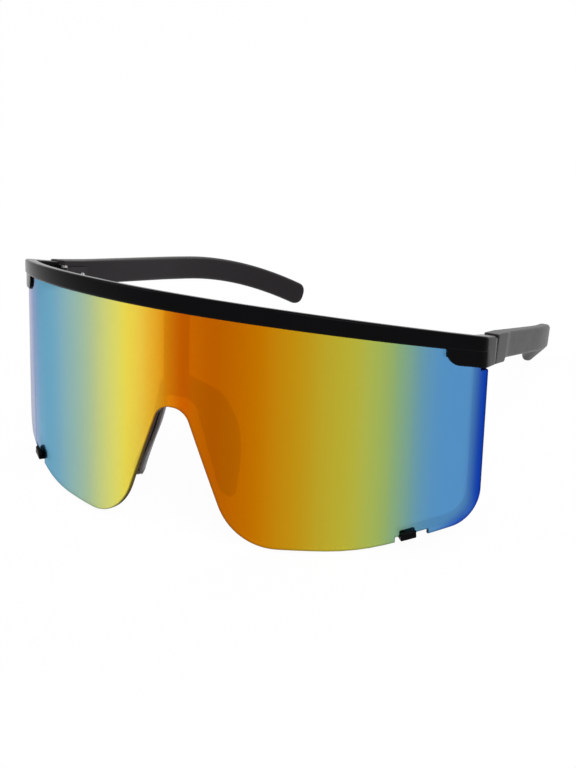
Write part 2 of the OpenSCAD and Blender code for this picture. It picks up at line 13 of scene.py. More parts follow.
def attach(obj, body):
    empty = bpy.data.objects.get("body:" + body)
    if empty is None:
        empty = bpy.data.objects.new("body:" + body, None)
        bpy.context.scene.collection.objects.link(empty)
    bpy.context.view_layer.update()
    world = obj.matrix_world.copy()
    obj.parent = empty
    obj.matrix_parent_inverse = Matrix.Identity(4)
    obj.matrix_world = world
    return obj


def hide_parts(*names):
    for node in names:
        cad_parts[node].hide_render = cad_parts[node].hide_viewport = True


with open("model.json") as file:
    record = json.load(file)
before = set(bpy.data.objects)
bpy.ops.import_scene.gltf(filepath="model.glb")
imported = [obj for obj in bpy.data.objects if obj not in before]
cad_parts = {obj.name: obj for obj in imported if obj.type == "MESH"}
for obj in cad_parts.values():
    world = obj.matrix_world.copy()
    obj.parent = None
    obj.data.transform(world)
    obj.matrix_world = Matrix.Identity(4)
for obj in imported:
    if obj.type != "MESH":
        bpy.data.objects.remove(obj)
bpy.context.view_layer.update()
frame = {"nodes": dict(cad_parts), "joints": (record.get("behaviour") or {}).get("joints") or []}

# Wrap of the front, seen from above
MIDDLE_R, SIDE_R, MIDDLE_TURN = 68.0, 103.0, 16.0
# Brow bar
BAR_H, BAR_D, BAR_RAKE, BAR_TAPER, BAR_EDGE_R = 5.0, 3.8, 13.5, 0.9, 0.75
# Corners
CORNER_R, SIDE_RISE = 4.0, 2.0
BLOCK_DROP, BLOCK_RECESS, BLOCK_S, BLOCK_R, BLOCK_EDGE_R = 4.1, 0.35, 72.0, 2.0, 0.45
# Lens
LENS_T, LENS_INSET, LENS_W, LENS_DROP, GROOVE_D, LENS_EDGE_R = 1.8, 1.0, 168.8, 61.9, 2.4, 0.45
CHEEK_RISE, CHEEK_S, LENS_CORNER_R, CHEEK_R, LENS_TAB_IN = 6.8, 50.0, 10.0, 80.0, 2.2
NOTCH_DROP, NOTCH_TOP_W, NOTCH_SLOPE, NOTCH_TOP_R, LOBE_R = 26.1, 3.8, 21.3, 5.0, 17.0
# Side rims and hooks
RIM_W, RIM_D, RIM_SET, RIM_EDGE_R, RIM_TOP, RIM_STEP = 2.4, 2.2, 0.4, 0.7, 14.0, 5.5
HOOK_S, HOOK_W, HOOK_EDGE_R, HOOK_LIP_H, HOOK_LIP_T, HOOK_LIP_R = 63.9, 4.2, 0.25, 2.6, 1.1, 0.5
HOOK_NOTCH_W, HOOK_NOTCH_D, HOOK_NOTCH_R = 9.0, 1.4, 0.35
# Nose bridge
POST_W, POST_D, POST_SEAT, POST_TOP, POST_SINK, POST_EDGE_R = 7.2, 1.6, 0.4, 1.2, 0.4, 0.5
FLARE_H, FLARE_W, FLARE_D_SHARE = 3.2, 1.6, 0.6
WING_SPREAD, WING_D, WING_H, ARCH_DROP = 15.6, 11.3, 29.0, 22.2
WING_T, WING_EDGE_R, WING_ROUND_SHARE = 1.5, 0.6, 0.4
WING_RUN = 1.15 * WING_H
PAD_T, PAD_EDGE_R, PAD_INSET, PAD_ROUND_SHARE = 1.1, 0.36, 0.08, 0.46
PAD_START_SHARE, PAD_END_SHARE, PAD_FLAT_SHARE, PAD_CROWN_SHARE = 0.3, 0.995, 0.72, 0.3
BRIDGE_VOXEL, BRIDGE_ROUNDS = 0.26, 3
# Hinges
HINGE_BACK, SIDE_IN, HINGE_OUT, KNUCKLE_R, KNUCKLE_H, LEAF_T = 7.8, 1.2, 5.2, 1.5, 1.8, 0.9
LEAF_FRONT_L, LEAF_TEMPLE_L, BUTT_GAP, BUTT_BEVEL, SLIP = 7.9, 12.0, 0.3, 0.3, 0.05
KNUCKLE_ROOM = 6 * SLIP
# Temples
TEMPLE_RAKE, TEMPLE_SPLAY, ARM_SKEW = 12.0, 5.8, 1.6
BLOCK_H, BLOCK_L, BLOCK_T, ARM_H, ARM_T, ARM_TIP_T, BEVEL_L = 8.0, 10.0, 4.4, 7.1, 3.8, 2.8, 5.0
ARM_STRAIGHT, TEMPLE_L, ARM_TURN_R, DROP_START, DROP_R = 51.0, 117.0, 138.0, 66.0, 140.0
TIP_R, TIP_TRIM, TIP_TURN, TIP_ROUND_SHARE, TIP_THIN_SHARE = 2.8, 0.8, 30.0, 0.85, 0.45
TIP_START = TEMPLE_L - TIP_R - TIP_TRIM
BLOCK_SOFT_R, ARM_SOFT_R, SOFT_RUN, STEP_EASE = 0.5, 1.15, 40.0, 0.5

MM = 0.001
SIDES = {"left": 1, "right": -1}
# How near two points of a mesh are one: for lofts, for trimmed pieces and for plane cuts
MERGE, FINE_MERGE, ON_PLANE = 0.02, 0.004, 0.002


def sin(a):
    return math.sin(math.radians(a))


def cos(a):
    return math.cos(math.radians(a))


def tan(a):
    return math.tan(math.radians(a))


def mix(a, b, t):
    return a + (b - a) * t


# The plan of the front
MIDDLE_C = Vector((0, MIDDLE_R))
SIDE_C = MIDDLE_C - (SIDE_R - MIDDLE_R) * Vector((sin(MIDDLE_TURN), -cos(MIDDLE_TURN)))
LENS_HALF = LENS_W / 2
MIDDLE_S = math.radians(MIDDLE_TURN) * (MIDDLE_R - LENS_INSET)


def turn_at(s):
    """How far the front has turned, in degrees, at length s along the lens's face."""
    if s <= MIDDLE_S:
        return math.degrees(s / (MIDDLE_R - LENS_INSET))
    return MIDDLE_TURN + math.degrees((s - MIDDLE_S) / (SIDE_R - LENS_INSET))


def out_dir(turn):
    """The way out of the front, in plan, where it has turned that far."""
    return Vector((sin(turn), -cos(turn)))


def plan_at(turn, inset):
    """The plan's point at that turn, inset behind the bar's front."""
    if turn <= MIDDLE_TURN:
        return MIDDLE_C + (MIDDLE_R - inset) * out_dir(turn)
    return SIDE_C + (SIDE_R - inset) * out_dir(turn)


def on_lens(s, z, depth):
    """The point at length s along the lens and height z, depth behind the bar's front."""
    p = plan_at(turn_at(abs(s)), depth)
    return Vector((math.copysign(p.x, s), p.y, z))


def round_corner(a, b, c, r, step=4):
    """Points round corner b of the path a, b, c with radius r, at most step degrees apart."""
    u = (a - b).normalized()
    v = (c - b).normalized()
    half = math.acos(max(-1, min(1, u.dot(v)))) / 2
    m = b + (u + v).normalized() * r / math.sin(half)
    p = b + u * r / math.tan(half) - m
    q = b + v * r / math.tan(half) - m
    start = math.atan2(p.y, p.x)
    full = (math.atan2(q.y, q.x) - start + math.pi) % (2 * math.pi) - math.pi
    count = max(2, math.ceil(math.degrees(abs(full)) / step))
    return [m + r * Vector((math.cos(start + full * k / count), math.sin(start + full * k / count)))
            for k in range(count + 1)]


CHEEK_SLOPE = math.degrees(math.atan(CHEEK_RISE / (LENS_HALF - CHEEK_S)))


def cheek_z(s, up):
    """Height of the lens's sloping lower edge at length s, moved up square to the edge."""
    return -LENS_DROP + (s - CHEEK_S) * tan(CHEEK_SLOPE) + up / cos(CHEEK_SLOPE)


LENS_END = plan_at(turn_at(LENS_HALF), LENS_INSET)
LENS_SHOULDER = -LENS_END.y * tan(BAR_RAKE) - BLOCK_DROP - 4 * SLIP


def lens_half_outline(d):
    """The lens's right half from the notch's middle to its top corner, grown by d."""
    def notch(z):
        return NOTCH_TOP_W - d + (-z - NOTCH_DROP) * tan(NOTCH_SLOPE)
    low = -LENS_DROP - d
    side = LENS_HALF + d
    a = Vector((notch(-NOTCH_DROP), -NOTCH_DROP - d))
    b = Vector((notch(low), low))
    c = Vector((CHEEK_S, low))
    e = Vector((side, cheek_z(side, -d)))
    f = Vector((side, LENS_SHOULDER + d))
    g = Vector((side - LENS_TAB_IN, LENS_SHOULDER + d))
    hook_at = HOOK_S + (HOOK_NOTCH_W - HOOK_W) / 4
    near, far = hook_at - HOOK_NOTCH_W / 2 + d, hook_at + HOOK_NOTCH_W / 2 - d
    hook = [Vector((near, cheek_z(near, -d))), Vector((near, cheek_z(near, HOOK_NOTCH_D - d))),
            Vector((far, cheek_z(far, HOOK_NOTCH_D - d))), Vector((far, cheek_z(far, -d)))]
    hook = ([hook[0]] + round_corner(hook[0], hook[1], hook[2], HOOK_NOTCH_R, step=30)
            + round_corner(hook[1], hook[2], hook[3], HOOK_NOTCH_R, step=30) + [hook[3]])
    return (round_corner(Vector((-a.x, a.y)), a, b, NOTCH_TOP_R - d)
            + round_corner(a, b, c, LOBE_R) + round_corner(b, c, e, CHEEK_R, step=3)
            + hook + round_corner(c, e, f, LENS_CORNER_R) + round_corner(e, f, g, LENS_TAB_IN / 6, step=15)
            + [g, Vector((g.x, BAR_H))])


def lens_outline(d):
    half = lens_half_outline(d)
    return half + [Vector((-p.x, p.y)) for p in reversed(half)]


# The hinge's own place: X outwards, Y back along the temple, Z along the pin
HINGE = Vector((LENS_END.x - SIDE_IN - HINGE_OUT, LENS_END.y + HINGE_BACK, 0))
HINGE.z = -HINGE.y * tan(BAR_RAKE)
HINGE_TURN = (Matrix.Rotation(math.radians(-TEMPLE_RAKE), 3, "X")
              @ Matrix.Rotation(math.radians(TEMPLE_SPLAY), 3, "Z"))


def from_hinge(p):
    """From the left hinge's place to the lens's frame."""
    return HINGE + HINGE_TURN @ Vector(p)


# The stance: the lens's frame leans back until the tips of the arms reach the table
joints = {joint["name"]: joint for joint in frame["joints"]}
pin_axis = joints["hinge_left"]["axis"]
pin_place = Vector(joints["hinge_left"]["pos_m"])
LEAN = math.degrees(math.atan2(pin_axis[1], pin_axis[2])) - TEMPLE_RAKE
STAND = Matrix.Rotation(math.radians(-LEAN), 3, "X")
STAND_MOVE = pin_place - STAND @ HINGE * MM


def stand(p):
    """From millimetres in the lens's frame to metres in the shared frame."""
    return STAND @ Vector(p) * MM + STAND_MOVE


# Mesh tools

def mesh_object(name, points, faces):
    mesh = bpy.data.meshes.new(name)
    mesh.from_pydata([tuple(stand(p)) for p in points], [], faces)
    mesh.validate()
    obj = bpy.data.objects.new(name, mesh)
    bpy.context.scene.collection.objects.link(obj)
    return obj


def tidy_mesh(obj, merge=MERGE):
    """Joins doubled points, turns faces outwards and smooths all but sharp edges."""
    bm = bmesh.new()
    bm.from_mesh(obj.data)
    bmesh.ops.remove_doubles(bm, verts=bm.verts, dist=merge * MM)
    bmesh.ops.dissolve_degenerate(bm, edges=bm.edges, dist=merge * MM / 2)
    bmesh.ops.recalc_face_normals(bm, faces=bm.faces)
    bm.to_mesh(obj.data)
    bm.free()
    smooth(obj)
    return obj


def smooth(obj, below=32):
    obj.data.polygons.foreach_set("use_smooth", [True] * len(obj.data.polygons))
    obj.data.set_sharp_from_angle(angle=math.radians(below))
    obj.data.update()


def lofted(name, rings):
    """A closed skin through rings of as many points each."""
    size = len(rings[0])
    points = [p for ring in rings for p in ring]
    faces = []
    for k in range(len(rings) - 1):
        for j in range(size):
            a, b = k * size + j, k * size + (j + 1) % size
            faces.append((a, b, b + size, a + size))
    faces.append(tuple(range(size))[::-1])
    last = (len(rings) - 1) * size
    faces.append(tuple(last + j for j in range(size)))
    return tidy_mesh(mesh_object(name, points, faces))


def round_rect(w, h, r, steps=4):
    """A rounded rectangle from 0,0 to w,h, whose corners never quite meet."""
    most_share = 1 / 2.01
    r = min(r, w * most_share, h * most_share)
    points = []
    for cx, cy, start in ((r, r, 180), (w - r, r, 270), (w - r, h - r, 0), (r, h - r, 90)):
        for k in range(steps + 1):
            turn = start + 90 * k / steps
            points.append((cx + r * cos(turn), cy + r * sin(turn)))
    return points


def apply_modifiers(obj):
    graph = bpy.context.evaluated_depsgraph_get()
    mesh = bpy.data.meshes.new_from_object(obj.evaluated_get(graph))
    old = obj.data
    obj.modifiers.clear()
    obj.data = mesh
    bpy.data.meshes.remove(old)
    return obj


def joined(name, parts):
    """One object that holds the meshes of all the parts."""
    bm = bmesh.new()
    for part in parts:
        bm.from_mesh(part.data)
        old = part.data
        bpy.data.objects.remove(part)
        bpy.data.meshes.remove(old)
    mesh = bpy.data.meshes.new(name)
    bm.to_mesh(mesh)
    bm.free()
    obj = bpy.data.objects.new(name, mesh)
    bpy.context.scene.collection.objects.link(obj)
    return obj


def cut(obj, cutter):
    """Takes the cutter's shape out of obj, and joins obj's own overlapping shells."""
    modifier = obj.modifiers.new("cut", "BOOLEAN")
    modifier.operation = "DIFFERENCE"
    modifier.solver = "EXACT"
    modifier.use_self = True
    modifier.object = cutter
    apply_modifiers(obj)
    old = cutter.data
    bpy.data.objects.remove(cutter)
    bpy.data.meshes.remove(old)
    return tidy_mesh(obj, FINE_MERGE)


def moulded(obj, voxel, rounds):
    """Fuses overlapping shells into one skin with soft fillets, as a mould leaves them."""
    remesh = obj.modifiers.new("skin", "REMESH")
    remesh.mode = "VOXEL"
    remesh.voxel_size = voxel * MM
    relax = obj.modifiers.new("relax", "SMOOTH")
    relax.factor = 0.5
    relax.iterations = rounds
    apply_modifiers(obj)
    smooth(obj, below=60)
    return obj


def plan_of(p):
    return Vector((p.x, p.y))


# Corner of the front in plan: where the side's line and the front's arc meet
SIDE_POINT = plan_of(from_hinge((HINGE_OUT, 0, 0)))
SIDE_DIR = (plan_of(from_hinge((HINGE_OUT, BLOCK_T, 0))) - SIDE_POINT).normalized()
SIDE_NORMAL = Vector((SIDE_DIR.y, -SIDE_DIR.x))
CORNER_LINE = SIDE_POINT - SIDE_NORMAL * CORNER_R
CORNER_GAP = SIDE_C - CORNER_LINE
CORNER_OFF = CORNER_GAP.dot(SIDE_NORMAL)
CORNER_C = CORNER_LINE + SIDE_DIR * (CORNER_GAP.dot(SIDE_DIR)
                                     - math.sqrt((SIDE_R - CORNER_R) ** 2 - CORNER_OFF ** 2))
CORNER_TURN = math.degrees(math.atan2((CORNER_C - SIDE_C).x, -(CORNER_C - SIDE_C).y))
SIDE_TURN = math.degrees(math.atan2(SIDE_NORMAL.x, -SIDE_NORMAL.y))


def half_path(start_turn, front_step=2.0):
    """Outer line of the front's plan to the gap at the hinge: point, way out, inset share, depth."""
    path = []
    count = math.ceil((CORNER_TURN - start_turn) / front_step)
    for k in range(count):
        turn = mix(start_turn, CORNER_TURN, k / count)
        path.append((plan_at(turn, 0), out_dir(turn), 1.0, BAR_D))
    bends, sides = 8, 4
    for k in range(bends + 1):
        turn = mix(CORNER_TURN, SIDE_TURN, k / bends)
        path.append((CORNER_C + CORNER_R * out_dir(turn), out_dir(turn), 1 - k / bends,
                     mix(BAR_D, BLOCK_T, k / bends)))
    end = CORNER_C + CORNER_R * SIDE_NORMAL
    far = SIDE_POINT + SIDE_DIR * BLOCK_T
    for k in range(1, sides + 1):
        path.append((end.lerp(far, k / sides), SIDE_NORMAL, 0.0, BLOCK_T))
    return path


def mirrored_path(path):
    return [(Vector((-p.x, p.y)), Vector((-n.x, n.y)), share, depth)
            for p, n, share, depth in reversed(path)]


def bar_low(y):
    """Height of the bar's underside at depth y."""
    return -y * tan(BAR_RAKE)


def bar_high(y):
    """Height of the bar's top at depth y."""
    return BAR_H - y * tan(BAR_RAKE + BAR_TAPER)


UNDER_POINT = from_hinge((0, 0, -BLOCK_H / 2 + (BAR_H - BLOCK_DROP) / 2))
UNDER_NORMAL = HINGE_TURN @ Vector((0, -sin(SIDE_RISE), cos(SIDE_RISE)))


def under_z(x, y):
    """Height of the sides' underside, a plane that meets the temples' undersides at the hinges."""
    n = UNDER_NORMAL
    return UNDER_POINT.z - (n.x * (abs(x) - UNDER_POINT.x) + n.y * (y - UNDER_POINT.y)) / n.z


def band_ring(station, low, high, r, inset=0.0):
    """A rounded section of the front between the heights low and high, which follow x and y."""
    p, n, share, depth = station
    inset = inset * share
    middle = p - n * depth / 2
    tall = high(middle.x, middle.y) - low(middle.x, middle.y)
    ring = []
    for a, h in round_rect(depth - inset, tall, r):
        q = p - n * (inset + a)
        ring.append((q.x, q.y, mix(low(q.x, q.y), high(q.x, q.y), h / tall)))
    return ring


def front_cutter():
    """Room for the hinge's knuckles and leaves, on both sides."""
    parts = []
    for side in SIDES.values():
        parts += hinge_room_parts(side, LEAF_FRONT_L, -1)
    return joined("cutter", parts)


def box_in_hinge(name, side, low, high):
    """A box from the corner low to the corner high in the hinge's own place."""
    corners = [(x, y, z) for x in (low[0], high[0]) for y in (low[1], high[1]) for z in (low[2], high[2])]
    points = [from_hinge(c) for c in corners]
    points = [Vector((side * p.x, p.y, p.z)) for p in points]
    faces = [(0, 1, 3, 2), (4, 6, 7, 5), (0, 4, 5, 1), (2, 3, 7, 6), (0, 2, 6, 4), (1, 5, 7, 3)]
    return tidy_mesh(mesh_object(name, points, faces))


def hinge_room_parts(side, leaf_l, way):
    """The pocket of a leaf and the round room of the knuckles, as cutters."""
    tall = 1.5 * KNUCKLE_H + SLIP
    leaf_x = HINGE_OUT - BLOCK_T - LEAF_T / 2
    y = sorted((0, way * (leaf_l + SLIP)))
    pocket = box_in_hinge("pocket", side, (leaf_x - 2 * BLOCK_T, y[0], -tall),
                          (leaf_x + LEAF_T + SLIP, y[1], tall))
    r = KNUCKLE_R + KNUCKLE_ROOM
    count = 32
    rings = []
    for z in (-3 * BLOCK_H, 3 * BLOCK_H):
        ring = [from_hinge((r * cos(360 * k / count), r * sin(360 * k / count), z)) for k in range(count)]
        rings.append([Vector((side * p.x, p.y, p.z)) for p in ring])
    return [pocket, lofted("room", rings)]


def cut_at_gap(obj, side, way):
    """Ends obj at the hinge's gap and rounds the new edge."""
    bm = bmesh.new()
    bm.from_mesh(obj.data)
    point = from_hinge((0, way * BUTT_GAP / 2, 0))
    normal = HINGE_TURN @ Vector((0, -way, 0))
    point.x *= side
    normal.x *= side
    near = [v for v in bm.verts if v.co.x * side > 0]
    chosen = set(near)
    edges = [e for e in bm.edges if chosen.issuperset(e.verts)]
    sides = [f for f in bm.faces if chosen.issuperset(f.verts)]
    found = bmesh.ops.bisect_plane(bm, geom=near + edges + sides, plane_co=stand(point),
                                   plane_no=STAND @ normal, clear_outer=True, dist=ON_PLANE * MM)
    rim = [e for e in found["geom_cut"] if isinstance(e, bmesh.types.BMEdge)]
    caps = bmesh.ops.holes_fill(bm, edges=rim, sides=0)["faces"]
    rim = [e for cap in caps for e in cap.edges]
    bmesh.ops.bevel(bm, geom=rim, offset=BUTT_BEVEL * MM, segments=3, profile=0.5, affect="EDGES",
                    clamp_overlap=True)
    bm.to_mesh(obj.data)
    bm.free()
    return tidy_mesh(obj, FINE_MERGE)


def make_bar():
    """The brow bar with its two sides, as one rounded band."""
    path = half_path(0)
    path = mirrored_path(path[1:]) + path
    rings = [band_ring(station, lambda x, y: bar_low(y), lambda x, y: bar_high(y), BAR_EDGE_R)
             for station in path]
    bar = lofted("bar", rings)
    for side in SIDES.values():
        cut_at_gap(bar, side, -1)
    return bar


def make_block(side):
    """A corner block under the bar's end, set back a little, with its rounded inner corner."""
    start = plan_at(turn_at(BLOCK_S), 0)
    into_bar = BAR_H / 3
    fine_step, first_in = 0.12, 0.02

    def low(x, y):
        floor = max(bar_low(y) - BLOCK_DROP, under_z(x, y))
        run = max(0.0, abs(x) - start.x + first_in)
        if run < BLOCK_R:
            floor = max(floor, floor + BLOCK_R - math.sqrt(BLOCK_R ** 2 - (BLOCK_R - run) ** 2))
        return floor

    def high(x, y):
        return bar_low(y) + into_bar

    path = half_path(turn_at(BLOCK_S), fine_step)
    rings = [band_ring(station, low, high, BLOCK_EDGE_R, BLOCK_RECESS) for station in path]
    if side < 0:
        rings = [[(-x, y, z) for x, y, z in ring] for ring in rings]
    return cut_at_gap(lofted("block", rings), side, -1)


def run_at(points, k):
    """Which way a line of flat points runs at point k."""
    return (points[min(k + 1, len(points) - 1)] - points[max(k - 1, 0)]).normalized()


def make_rim(side):
    """The rim behind the lens's edge, from the block down to the hook."""
    d = RIM_SET + RIM_W / 2
    edge = LENS_HALF - d
    foot = HOOK_S - HOOK_W / 2
    a = Vector((edge, -RIM_TOP))
    b = Vector((edge, cheek_z(edge, d)))
    c = Vector((foot, cheek_z(foot, d)))
    line = ([Vector((edge, -RIM_TOP - RIM_STEP * k)) for k in range(5)]
            + round_corner(a, b, c, LENS_CORNER_R - d, step=5) + [c])
    behind = LENS_INSET + LENS_T + SLIP
    rings = []
    for k, p in enumerate(line):
        way = run_at(line, k)
        across = Vector((way.y, -way.x))
        ring = []
        for u, v in round_rect(RIM_W, RIM_D, RIM_EDGE_R, steps=3):
            q = p + across * (u - RIM_W / 2)
            ring.append(on_lens(side * q.x, q.y, behind + v))
        rings.append(ring)
    return lofted("rim", rings)


def lens_box(name, s, w, low, high, front, back, r, side):
    """A rounded block on the lens's surface that follows the lower edge."""
    steps = 4
    ease = [(r * (1 - cos(90 * k / steps)), r * (1 - sin(90 * k / steps))) for k in range(steps + 1)]
    stations = [(s - w / 2 + along, inward) for along, inward in ease]
    stations += [(s + w / 2 - along, inward) for along, inward in reversed(ease)]
    rings = []
    for at, inward in stations:
        section = round_rect(back - front - 2 * inward, high - low - 2 * inward, r)
        rings.append([on_lens(side * at, cheek_z(at, low + inward + v), front + inward + u)
                      for u, v in section])
    return lofted(name, rings)


def make_hook(side):
    """The hook that holds the lens's lower edge: a foot through the edge and a lip in front."""
    back = LENS_INSET + LENS_T + SLIP + RIM_D
    front = LENS_INSET - SLIP - HOOK_LIP_T
    low = HOOK_NOTCH_D / 3
    foot = lens_box("foot", HOOK_S, HOOK_W, low, HOOK_NOTCH_D - 2 * SLIP, front, back, HOOK_EDGE_R, side)
    lip = lens_box("lip", HOOK_S, HOOK_W, low, HOOK_LIP_H, front, front + HOOK_LIP_T, HOOK_LIP_R, side)
    return [foot, lip]


def make_front():
    parts = [make_bar()]
    for side in SIDES.values():
        parts += [make_block(side), make_rim(side)] + make_hook(side)
    front = joined("front_frame_shell", parts)
    return cut(front, front_cutter())


def make_lens():
    """The lens: its outline with a rounded edge, cut in upright strips and laid on the front's curve."""
    steps = 4
    turns = [90 * k / steps for k in range(steps + 1)]
    profile = [(-LENS_EDGE_R * (1 - sin(turn)), LENS_EDGE_R * (1 - cos(turn))) for turn in turns]
    profile += [(d, LENS_T - depth) for d, depth in reversed(profile)]
    rings = [[(p.x, p.y, depth) for p in lens_outline(d)] for d, depth in profile]
    size = len(rings[0])
    bm = bmesh.new()
    edge = bm.verts.layers.float.new("lens_edge")
    verts = [[bm.verts.new(p) for p in ring] for ring in rings]
    for ring, (d, depth) in zip(verts, profile):
        for v in ring:
            v[edge] = 1 + d / LENS_EDGE_R
    for k in range(len(rings) - 1):
        for j in range(size):
            i = (j + 1) % size
            bm.faces.new((verts[k][j], verts[k][i], verts[k + 1][i], verts[k + 1][j]))
    bm.faces.new(verts[0][::-1])
    bm.faces.new(verts[-1])
    strip = 1.4
    on_cut = 0.0001
    count = int(LENS_HALF / strip)
    for k in range(-count, count + 1):
        bmesh.ops.bisect_plane(bm, geom=bm.verts[:] + bm.edges[:] + bm.faces[:], dist=on_cut,
                               plane_co=(k * strip, 0, 0), plane_no=(1, 0, 0))
    mesh = bpy.data.meshes.new("lens_sheet")
    along = bm.verts.layers.float.new("lens_along")
    height = bm.verts.layers.float.new("lens_height")
    for v in bm.verts:
        s, z, depth = v.co
        v[along] = s
        v[height] = z
        v.co = stand(on_lens(s, z, LENS_INSET + depth))
    top_cut = bmesh.ops.bisect_plane(bm, geom=bm.verts[:] + bm.edges[:] + bm.faces[:], dist=on_cut * MM,
                                     plane_co=stand((0, 0, GROOVE_D - 2 * SLIP)), clear_outer=True,
                                     plane_no=STAND @ Vector((0, sin(BAR_RAKE), cos(BAR_RAKE))))
    rim = [e for e in top_cut["geom_cut"] if isinstance(e, bmesh.types.BMEdge)]
    bmesh.ops.holes_fill(bm, edges=rim, sides=0)
    bmesh.ops.recalc_face_normals(bm, faces=bm.faces)
    bm.to_mesh(mesh)
    bm.free()
    lens = bpy.data.objects.new("lens_sheet", mesh)
    bpy.context.scene.collection.objects.link(lens)
    smooth(lens, below=40)
    return lens


# Nose bridge: the wings' front and back edges, as shares of spread, depth and height
WING_FRONT_SHARES = [(0, 0, 0), (0.14, 0, 0.01), (0.28, 0.01, 0.05), (0.40, 0.05, 0.12),
                     (0.47, 0.10, 0.21), (0.55, 0.14, 0.33), (0.63, 0.14, 0.46), (0.73, 0.12, 0.60),
                     (0.83, 0.09, 0.73), (0.90, 0.10, 0.85), (0.93, 0.20, 0.95)]
WING_BACK_SHARES = [(0, 0.55, -0.105), (0.25, 0.55, -0.07), (0.44, 0.56, -0.035), (0.60, 0.62, 0.01),
                    (0.69, 0.80, 0.12), (0.78, 0.97, 0.28), (0.87, 0.98, 0.45), (0.935, 0.85, 0.60),
                    (0.97, 0.69, 0.73), (0.995, 0.54, 0.85), (1, 0.42, 0.95)]
WING_Y = BAR_D + POST_D / 4


def wing_edge(shares, t):
    """A point of a wing's edge at t from 0 to 1, on a smooth curve through the shares."""
    last = len(shares) - 1
    k = min(int(t * last), last - 1)
    f = t * last - k

    def at(i):
        if i < 0:
            x, y, z = shares[-i]
            return Vector((-x, y, z))
        if i > last:
            return 2 * Vector(shares[last]) - Vector(shares[2 * last - i])
        return Vector(shares[i])
    a, b, c, d = (at(k + i) for i in (-1, 0, 1, 2))
    bend = a - b * 2.5 + c * 2 - d / 2
    twist = b * 1.5 - a / 2 - c * 1.5 + d / 2
    q = b + (c - a) * f / 2 + bend * f * f + twist * f ** 3
    return Vector((q.x * WING_SPREAD, WING_Y + q.y * WING_D, -ARCH_DROP - q.z * WING_H))


def wing_station(t):
    """Front edge, back edge and the way to the nose at t."""
    front, back = wing_edge(WING_FRONT_SHARES, t), wing_edge(WING_BACK_SHARES, t)
    step = 0.02
    along = wing_edge(WING_FRONT_SHARES, min(1, t + step)) - wing_edge(WING_FRONT_SHARES, max(0, t - step))
    if t < step:
        along = Vector((1, 0, 0))
    n = (back - front).cross(along).normalized()
    return front, back, n if t > 0 else Vector((0, n.y, n.z)).normalized()


def rounded_in(run, r):
    """How far a quarter circle of radius r pulls in at a distance run from its end."""
    return r - math.sqrt(max(0.0, r ** 2 - (r - run) ** 2)) if run < r else 0.0


def ribbon(name, side, low, high, r, round_share, start=0.0, end=1.0, inset=0.0, crown=0.0, thin_end=False):
    """A ribbon along a wing between two distances from its face, with rounded edges and ends."""
    stations = 90
    least_span, least_share = 0.4, 0.06
    thick = high - low
    rings = []
    for k in range(stations + 1):
        f = k / stations
        front, back, n = wing_station(mix(start, end, f))
        width = (back - front).length
        way = (back - front) / width
        left, tall = inset, thick
        # The ends close in a round form, but for one in the bridge's middle
        for near in ((1 - f) * (end - start), f * (end - start) if start > 0 else 1.0):
            run = near * WING_RUN
            left = max(left, inset + rounded_in(run, round_share * width))
            if thin_end and run < 2 * thick:
                tall = min(tall, thick * math.sqrt(max(least_share, 1 - (1 - run / thick / 2) ** 2)))
        span = max(least_span, width - 2 * left)
        ring = []
        for u, v in round_rect(span, tall, r):
            c = (u - span / 2) / (width / 2)
            bulge = crown * max(0.0, 1 - c * c) * v / thick
            q = front + way * (width / 2 + u - span / 2) + n * (low + v + bulge)
            ring.append((side * q.x, q.y, q.z))
        rings.append(ring)
    return lofted(name, rings)


def make_post():
    """The post behind the lens, which flares into the saddle below."""
    drop = ARCH_DROP + WING_T / 2
    steps = 30
    rings = []
    for k in range(steps + 1):
        z = mix(-POST_TOP, -drop - POST_SINK, k / steps)
        low = max(0.0, 1 - (z + drop) / FLARE_H)
        flare = FLARE_W * low * low
        w = POST_W + 2 * flare
        section = round_rect(w, POST_D + flare * FLARE_D_SHARE, POST_EDGE_R, steps=3)
        rings.append([(x - w / 2, BAR_D - POST_SEAT + y, z) for x, y in section])
    return lofted("post", rings)


def make_bridge():
    """The post and the saddle with its two wings, fused with soft fillets."""
    parts = [make_post()]
    for side in SIDES.values():
        parts.append(ribbon("wing", side, 0, WING_T, WING_EDGE_R, WING_ROUND_SHARE))
    return moulded(joined("nose_bridge_shell", parts), BRIDGE_VOXEL, BRIDGE_ROUNDS)


def make_pad(name, side):
    """A soft pad on the wing's nose side: crowned, with round edges and ends."""
    low = WING_T + SLIP
    return ribbon(name, side, low, low + PAD_T * PAD_FLAT_SHARE, PAD_EDGE_R, PAD_ROUND_SHARE,
                  PAD_START_SHARE, PAD_END_SHARE, PAD_INSET, crown=PAD_T * PAD_CROWN_SHARE, thin_end=True)


def temple_ring(side, l, outer, low, high, r):
    """A rounded section of a temple at length l, between the heights low and high about its middle."""
    inner = HINGE_OUT - BLOCK_T
    arm_top = BLOCK_H / 2 + (BAR_H - BLOCK_DROP) / 2
    middle = arm_top - ARM_H / 2
    ring = []
    for u, v in round_rect(outer - inner, high - low, r, steps=5):
        up = low + v
        turn = max(0.0, l - DROP_START) / DROP_R
        at = l if turn == 0 else DROP_START + (DROP_R + up) * math.sin(turn)
        z = middle + (up if turn == 0 else (DROP_R + up) * math.cos(turn) - DROP_R)
        x = inner + u
        bend = max(0.0, at - ARM_STRAIGHT) / ARM_TURN_R
        px, py = x, at
        if bend > 0:
            px = (ARM_TURN_R + x) * math.cos(bend) - ARM_TURN_R
            py = ARM_STRAIGHT + (ARM_TURN_R + x) * math.sin(bend)
        z += -side * tan(ARM_SKEW) * max(0.0, py - BLOCK_L)
        q = from_hinge((px, py, z))
        ring.append((side * q.x, q.y, q.z))
    return ring


